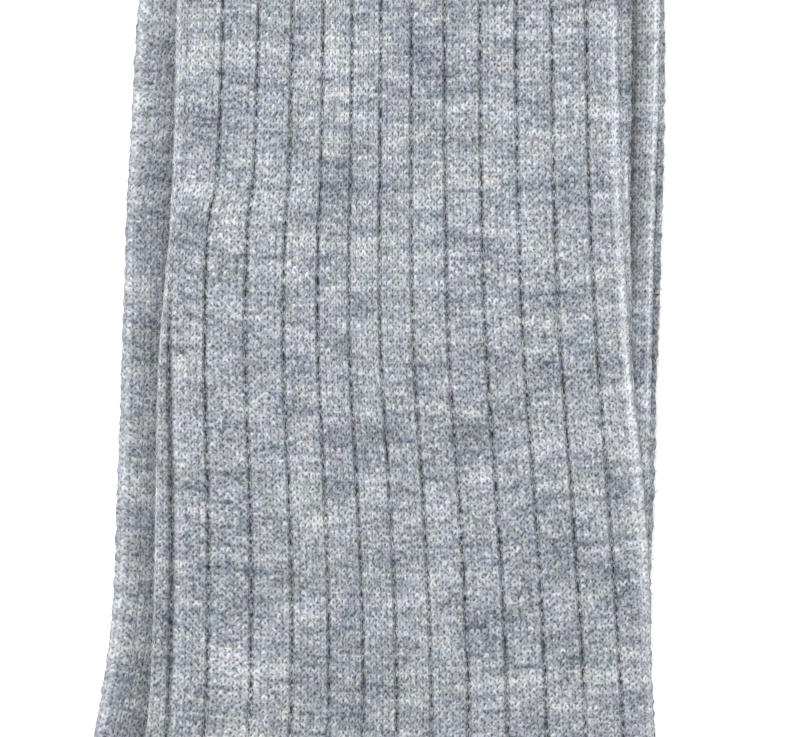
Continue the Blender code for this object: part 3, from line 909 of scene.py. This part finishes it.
def stitch_nodes(w, given):
    """Plain knit stitches on a map of wales and courses.

    Each wale is a stack of yarn legs in the shape of an upside-down V. A leg is a round band that
    slants away from the wale's middle: the phase of a band is the course less a slant times the
    distance from the middle. The gaps between bands open as dots at a leg's two ends and nearly
    close along it. Noise pushes the map about first and says how far each gap opens, because no
    two stitches are alike.
    """
    push = w.vector_math("SUBTRACT", w.noise(given["Map"], *WOBBLE_NOISE, "Color"), MIDDLE_GREY)
    wale, course, _ = w.parts(w.vector_math("ADD", given["Map"],
                                            w.vector_math("SCALE", push, given["Wobble"])))
    centred = w.plus(wale, 0.5)
    u = w.math("FRACT", centred)
    off = w.times(w.math("ABSOLUTE", w.minus(u, 0.5)), 2.0)
    phase = w.minus(course, w.times(given["Slant"], off))
    band = w.math("POWER", w.math("SINE", w.times(w.math("FRACT", phase), math.pi)), LEG_ROUNDNESS)
    dots = w.math("POWER", w.math("ABSOLUTE", w.times_plus(off, 2.0, -1.0)), DOT_SHARPNESS)
    gap = w.times(w.minus(1.0, band), w.times_plus(dots, AT_DOTS, ALONG_LEG))
    gap = w.times(gap, w.ramp(w.noise(given["Map"], *PULL_NOISE), *PULL), clamp=True)
    height = w.minus(w.ramp(off, *WALE_EDGE), gap, clamp=True)
    stitch = w.vector(w.math("FLOOR", centred), w.math("FLOOR", phase), w.math("GREATER_THAN", u, 0.5))
    straight = w.plus(w.parts(given["Map"])[0], 0.5)
    jitter = w.times(w.parts(push)[0], PURL_JITTER)
    in_rib = w.math("FRACT", w.math("DIVIDE", w.plus(straight, jitter), given["Rib wales"]))
    from_purl = w.math("ABSOLUTE", w.minus(w.times(in_rib, given["Rib wales"]), 0.5))
    purl = w.times(w.ramp(from_purl, *PURL_BLUR), given["Ribbed"])
    return {"Height": height, "Stitch": stitch, "Purl": purl}


# Slow changes in the blend: how fast each comes and goes from wale to wale and from course to
# course, its place in the noise, its detail and roughness, and how much it does. The first reads
# whole courses, so that it gives streaks one course high.
Blend = namedtuple("Blend", "by_wale by_course place detail rough amount")
SLOW_BLENDS = (
    Blend(0.2, 7.31, 2.0, 2.0, 0.6, 0.50),
    Blend(0.13, 0.45, 9.0, 3.0, 0.6, 0.85),
    Blend(0.06, 0.1, 4.0, 1.0, 0.5, 0.45),
)
STREAK_STRENGTH = 1.26
FLECK, TUFT, HAIRS = 0.24, 1.43, 0.92       # how much a stitch, a tuft and a few hairs do
HAIR_RUN = ((2.1, 1.5), (-1.0, 1.3))        # wales and courses of the slanting map that hairs follow

# Tints: place in the noise, scale, detail, roughness and how much of red, green and blue.
TINTS = ((7.0, 1.2, 3.0, 0.7, (0.38, 0.30, 0.38)), (5.0, 0.22, 2.0, 0.6, (0.20, 0.06, 0.20)))


def heather_nodes(w, given):
    """Shade of a blended yarn, from 0 (dark fibres) to 1 (light fibres), and its tint.

    The shade is a half plus a sum of noises about 0: slow ones along the courses for streaks and
    patches, and quick ones for each leg of a stitch, each tuft of fibres and each few hairs.
    """
    wale, course, _ = w.parts(given["Map"])

    def about_zero(value, amount):
        return w.times(w.minus(value, 0.5), amount)

    slow = 0.0
    for blend, number in zip(SLOW_BLENDS, (w.parts(given["Stitch"])[1], course, course)):
        place = w.vector(w.times(wale, blend.by_wale), w.times(number, blend.by_course), blend.place)
        slow = w.plus(slow, about_zero(w.noise(place, 1.0, blend.detail, blend.rough), blend.amount))
    hairs = w.vector(*(w.times_plus(wale, across, w.times(course, down)) for across, down in HAIR_RUN), 3.0)
    quick = w.plus(about_zero(w.chance(given["Stitch"]), FLECK),
                   about_zero(w.noise(given["Map"], *TUFT_NOISE), TUFT))
    quick = w.plus(quick, about_zero(w.noise(hairs, *HAIR_NOISE), HAIRS))
    shade = w.plus(w.times_plus(slow, given["Streaks"], 0.5), w.times(quick, given["Flecks"]), clamp=True)

    tint = (1.0, 1.0, 1.0)
    for place, scale, detail, rough, amounts in TINTS:
        noise = w.noise(w.vector(wale, course, place), scale, detail, rough, "Color")
        noise = w.vector_math("MULTIPLY", w.vector_math("SUBTRACT", noise, MIDDLE_GREY), amounts)
        tint = w.vector_math("ADD", noise, tint)
    return {"Shade": shade, "Tint": tint}


FLOAT, VECTOR = "NodeSocketFloat", "NodeSocketVector"
LEG_PURL_SHADE, CUFF_PURL_SHADE = 0.55, 0.45            # painted shade in the sunken purl wales of a leg and of a cuff
GAP_HEIGHTS, GAP_SHADE = (0.05, 0.85), 0.4  # at what stitch heights the gaps between stitches take painted shade, and how light they stay
TEAR, TEAR_DEPTH = (0.4, 0.61), 1.8         # how abruptly and how much a groove's painted shade comes and goes
GROOVE_DARKEST = 0.08
SEAM_SHADE = 0.35
LIT_GAIN, LIT_PALING = 0.3, 0.22              # how much painted highlight a lit fold gains, and how far that painted highlight pales it
NAP_SHARE = 0.18                            # height of the nap beside a stitch's
BUMP_STRENGTH, BUMP_DEPTH = 0.7, 0.35


def rgba(colour):
    return (*colour, 1.0)


def wool(name, rib_wales, purl):
    """Matt heathered wool, with stitches as bump, painted shade in the gaps between the yarns and in the
    grooves, and painted highlight and shade from the masks.
    """
    def fill(w, inputs):
        inputs["Sheen Weight"].default_value = 0.10
        inputs["Sheen Roughness"].default_value = 0.6
        knit = w.node("ShaderNodeUVMap", uv_map="knit").outputs[0]
        mask = {label: w.node("ShaderNodeAttribute", attribute_name=label).outputs["Fac"]
                for label in ("ribbed", "seam", "lit", "shaded")}
        stitches = w.node("ShaderNodeGroup", node_tree=shared_group(
            "knit stitches",
            (("Map", VECTOR, None), ("Ribbed", FLOAT, 1.0), ("Rib wales", FLOAT, 6.0),
             ("Slant", FLOAT, LEG_SLANT), ("Wobble", FLOAT, MAP_WOBBLE)),
            (("Height", FLOAT), ("Stitch", VECTOR), ("Purl", FLOAT)), stitch_nodes))
        w.join(knit, stitches.inputs["Map"])
        stitches.inputs["Rib wales"].default_value = float(rib_wales)
        if rib_wales == RIB_WALES:
            w.join(mask["ribbed"], stitches.inputs["Ribbed"])
        yarn = w.node("ShaderNodeGroup", node_tree=shared_group(
            "heathered yarn",
            (("Map", VECTOR, None), ("Stitch", VECTOR, None), ("Streaks", FLOAT, STREAK_STRENGTH),
             ("Flecks", FLOAT, 1.0)),
            (("Shade", FLOAT), ("Tint", VECTOR)), heather_nodes))
        w.join(knit, yarn.inputs["Map"])
        w.join(stitches.outputs["Stitch"], yarn.inputs["Stitch"])

        c, shade, height = colours(), yarn.outputs["Shade"], stitches.outputs["Height"]
        blend = w.blend(w.ramp(shade, 0.0, 0.5, kind="LINEAR"), rgba(c.dark), rgba(c.middle))
        blend = w.blend(w.ramp(shade, 0.5, 1.0, kind="LINEAR"), blend, rgba(c.light))
        blend = w.vector_math("MULTIPLY", blend, yarn.outputs["Tint"])
        # Painted shade in the gaps between the yarn legs, where the stitch height is low.
        gaps = w.ramp(height, *GAP_HEIGHTS, GAP_SHADE, 1.0)
        # Painted shade in the grooves of the sunken purl wales, torn by noise and never darker than
        # GROOVE_DARKEST.
        torn = w.ramp(w.noise(knit, *TEAR_NOISE), *TEAR, 0.0, TEAR_DEPTH * purl)
        groove_shade = w.minus(1.0, w.times(stitches.outputs["Purl"], torn))
        groove_shade = w.math("MAXIMUM", GROOVE_DARKEST, groove_shade)
        holes = w.minus(1.0, w.times(mask["seam"], SEAM_SHADE))
        # Painted highlight from the lit mask, and painted shade and painted shadow from the shaded mask.
        painted_light_and_shade = w.times(w.times_plus(mask["lit"], LIT_GAIN, 1.0), w.minus(1.0, mask["shaded"]))
        blend = w.vector_math("SCALE", blend, w.times(w.times(gaps, groove_shade), w.times(holes, painted_light_and_shade)))
        # Painted highlight: a lit fold pales toward the light wool.
        painted_highlight = w.times(mask["lit"], LIT_PALING, clamp=True)
        w.join(w.blend(painted_highlight, blend, rgba(c.light)), inputs["Base Color"])

        bump = w.node("ShaderNodeBump")
        bump.inputs["Strength"].default_value = BUMP_STRENGTH
        bump.inputs["Distance"].default_value = BUMP_DEPTH * MM
        w.join(w.times_plus(w.noise(knit, *NAP_NOISE), NAP_SHARE, height), bump.inputs["Height"])
        w.join(bump.outputs[0], inputs["Normal"])

    return material_once(name, roughness=0.95, specular=0.15, fill=fill)


def leg_wool():
    return wool("ribbed wool", RIB_WALES, LEG_PURL_SHADE)


def cuff_wool():
    return wool("cuff wool", CUFF_RIB_WALES, CUFF_PURL_SHADE)


def fibre_wool():
    """Single wool fibres: matt, each between the middle and the light colour."""
    def fill(w, inputs):
        inputs["Sheen Weight"].default_value = 0.2
        shade = w.node("ShaderNodeAttribute", attribute_name="shade").outputs["Fac"]
        c = colours()
        w.join(w.blend(shade, rgba(c.middle), rgba(c.light)), inputs["Base Color"])

    return material_once("loose wool fibres", roughness=0.8, specular=0.2, fill=fill)


def white_table():
    """White and matt, and lit a little from within, so that it stays white to its edges."""
    def fill(w, inputs):
        inputs["Base Color"].default_value = rgba((0.9, 0.9, 0.9))
        inputs["Emission Color"].default_value = rgba((1.0, 1.0, 1.0))
        inputs["Emission Strength"].default_value = 0.5

    return material_once("white table", roughness=0.9, specular=0.0, fill=fill)


# ---------------------------------------------------------------- pieces

def both_socks():
    """The lower and the upper sock, with the columns of each: fine where it shows, else coarse."""
    s = sizes()
    lower = FlatSock(
        "sock_lower", LOWER_SECTIONS, creases=LOWER_CREASES, outsets=LOWER_OUTSETS, lines=LOWER_LINES,
        fold_light=LOWER_FOLD_LIGHT, base=0.0, first_rib=-2, plain_centre=-2.45, ridge=12.81, seed=11,
        fold_wales=(-15.0, 79.5),
        columns=wale_columns((-5, -1, True), (-1, 11, False), (11, 16, True), (16, 23, False)))
    upper = FlatSock(
        "sock_upper", UPPER_SECTIONS, creases=UPPER_CREASES, outsets=UPPER_OUTSETS, lines=UPPER_LINES,
        fold_light=UPPER_FOLD_LIGHT, base=s.thickness + s.gap, first_rib=0, plain_centre=-3.0,
        ridge=12.77, seed=23, fold_wales=(-4.5, 82.0),
        columns=wale_columns((-2, 15, True), (15, 26, False)))
    lower.above = upper
    return lower, upper


def piece_name(part, sock):
    return part + sock.name.replace("sock", "")


def knit_between(part, places, wool_of_part, courses=1.0, **kind):
    """Knit the same stretch of both socks, between two of their named sections.

    courses is the number of courses from one row of points to the next.
    """
    for sock in both_socks():
        start, end = (sock.places_at[place] for place in places)
        piece = knit_tube(sock, piece_name(part, sock), start, end, courses * sizes().course,
                          sock.columns, wool_of_part(), **kind)
        declare_cloth(sock, start, end)
    return {"FINISHED"}


class SOCKS_OT_cuffs(bpy.types.Operator):
    """Knit the two cuffs: fine ribs down to the leg, with a rounded edge at the opening"""
    bl_idname = "socks.cuffs"
    bl_label = "Cuffs"

    def execute(self, context):
        return knit_between("cuff", ("cuff edge", "cuff foot"), cuff_wool, rim=True)


class SOCKS_OT_legs(bpy.types.Operator):
    """Knit the two ribbed legs"""
    bl_idname = "socks.legs"
    bl_label = "Legs"

    def execute(self, context):
        return knit_between("leg", ("cuff foot", "heel start"), leg_wool)


class SOCKS_OT_heels(bpy.types.Operator):
    """Knit the two heels: a plain pocket behind, and the ribbed instep in front"""
    bl_idname = "socks.heels"
    bl_label = "Heels"

    def execute(self, context):
        return knit_between("heel", ("heel start", "heel end"), leg_wool, heel=True)


class SOCKS_OT_feet(bpy.types.Operator):
    """Knit the two feet: ribbed above and plain below"""
    bl_idname = "socks.feet"
    bl_label = "Feet"

    def execute(self, context):
        return knit_between("foot", ("heel end", "toe start"), leg_wool, courses=1.4)


class SOCKS_OT_toes(bpy.types.Operator):
    """Knit the two closed toes, each with a raised seam across it"""
    bl_idname = "socks.toes"
    bl_label = "Toes"

    def execute(self, context):
        for sock in both_socks():
            start, end = sock.places_at["toe start"], float(sock.knots[-1])
            piece = knit_toe(sock, piece_name("toe", sock), start, sock.columns, leg_wool())
            declare_cloth(sock, start, end)
        return {"FINISHED"}


class SOCKS_OT_fibres(bpy.types.Operator):
    """Let loose wool fibres stand off the cloth"""
    bl_idname = "socks.fibres"
    bl_label = "Loose fibres"

    def execute(self, context):
        for sock in both_socks():
            loose_fibres(sock, piece_name("fibres", sock), 0.0, float(sock.knots[-1]), fibre_wool())
        return {"FINISHED"}


class SOCKS_OT_stage(bpy.types.Operator):
    """Set the white table, the soft lights and the camera above the socks"""
    bl_idname = "socks.stage"
    bl_label = "Table, lights and camera"

    def execute(self, context):
        scene = context.scene
        half, below = 3.0, -0.0002
        table = bpy.data.meshes.new("white_table")
        table.from_pydata([(-half, -half, below), (half, -half, below), (half, half, below),
                           (-half, half, below)], [], [(0, 1, 2, 3)])
        table.materials.append(white_table())
        floor = bpy.data.objects.new("white_table", table)
        scene.collection.objects.link(floor)

        world = bpy.data.worlds.new("soft studio")
        world.use_nodes = True
        sky = world.node_tree.nodes["Background"].inputs
        sky["Color"].default_value = rgba((1.0, 1.0, 1.0))
        sky["Strength"].default_value = 0.40
        scene.world = world

        lamp = bpy.data.lights.new("softbox", "AREA")
        lamp.shape = "SQUARE"
        lamp.size = 0.7
        lamp.energy = 10.5
        light = bpy.data.objects.new("softbox", lamp)
        light.location = (-0.20, 0.62, 0.72)
        light.rotation_euler = (-light.location).to_track_quat("-Z", "Y").to_euler()
        scene.collection.objects.link(light)

        above_cloth, cloth_top = 1000.0, 8.0
        lens = bpy.data.cameras.new("above")
        lens.sensor_width = 36.0
        lens.lens = lens.sensor_width * above_cloth / PHOTO_WIDTH
        lens.clip_start = 0.01
        camera = bpy.data.objects.new("camera_above", lens)
        camera.location = (PHOTO_CENTRE[0] * MM, PHOTO_CENTRE[1] * MM, (above_cloth + cloth_top) * MM)
        scene.collection.objects.link(camera)
        scene.camera = camera
        scene.view_settings.view_transform = "Standard"
        scene.view_settings.look = "None"
        return {"FINISHED"}


class SOCKS_PT_panel(bpy.types.Panel):
    """Sidebar panel with the sizes, the colours and the pieces of the socks"""
    bl_idname = "SOCKS_PT_panel"
    bl_label = "Ribbed wool socks"
    bl_space_type = "VIEW_3D"
    bl_region_type = "UI"
    bl_category = "Socks"

    def draw(self, context):
        for group in (context.scene.sock_sizes, context.scene.wool_colours):
            box = self.layout.box()
            for key in property_names(group):
                box.prop(group, key)
        for operator in OPERATORS:
            self.layout.operator(operator.bl_idname)


OPERATORS = (SOCKS_OT_cuffs, SOCKS_OT_legs, SOCKS_OT_heels, SOCKS_OT_feet, SOCKS_OT_toes,
             SOCKS_OT_fibres, SOCKS_OT_stage)
CLASSES = (SockSizes, WoolColours, *OPERATORS, SOCKS_PT_panel)


def register():
    for made in CLASSES:
        bpy.utils.register_class(made)
    bpy.types.Scene.sock_sizes = bpy.props.PointerProperty(type=SockSizes)
    bpy.types.Scene.wool_colours = bpy.props.PointerProperty(type=WoolColours)


def unregister():
    del bpy.types.Scene.wool_colours
    del bpy.types.Scene.sock_sizes
    for made in reversed(CLASSES):
        bpy.utils.unregister_class(made)


def main():
    register()
    bpy.ops.socks.cuffs()
    bpy.ops.socks.legs()
    bpy.ops.socks.heels()
    bpy.ops.socks.feet()
    bpy.ops.socks.toes()
    bpy.ops.socks.fibres()
    bpy.ops.socks.stage()


if __name__ == "__main__":
    main()
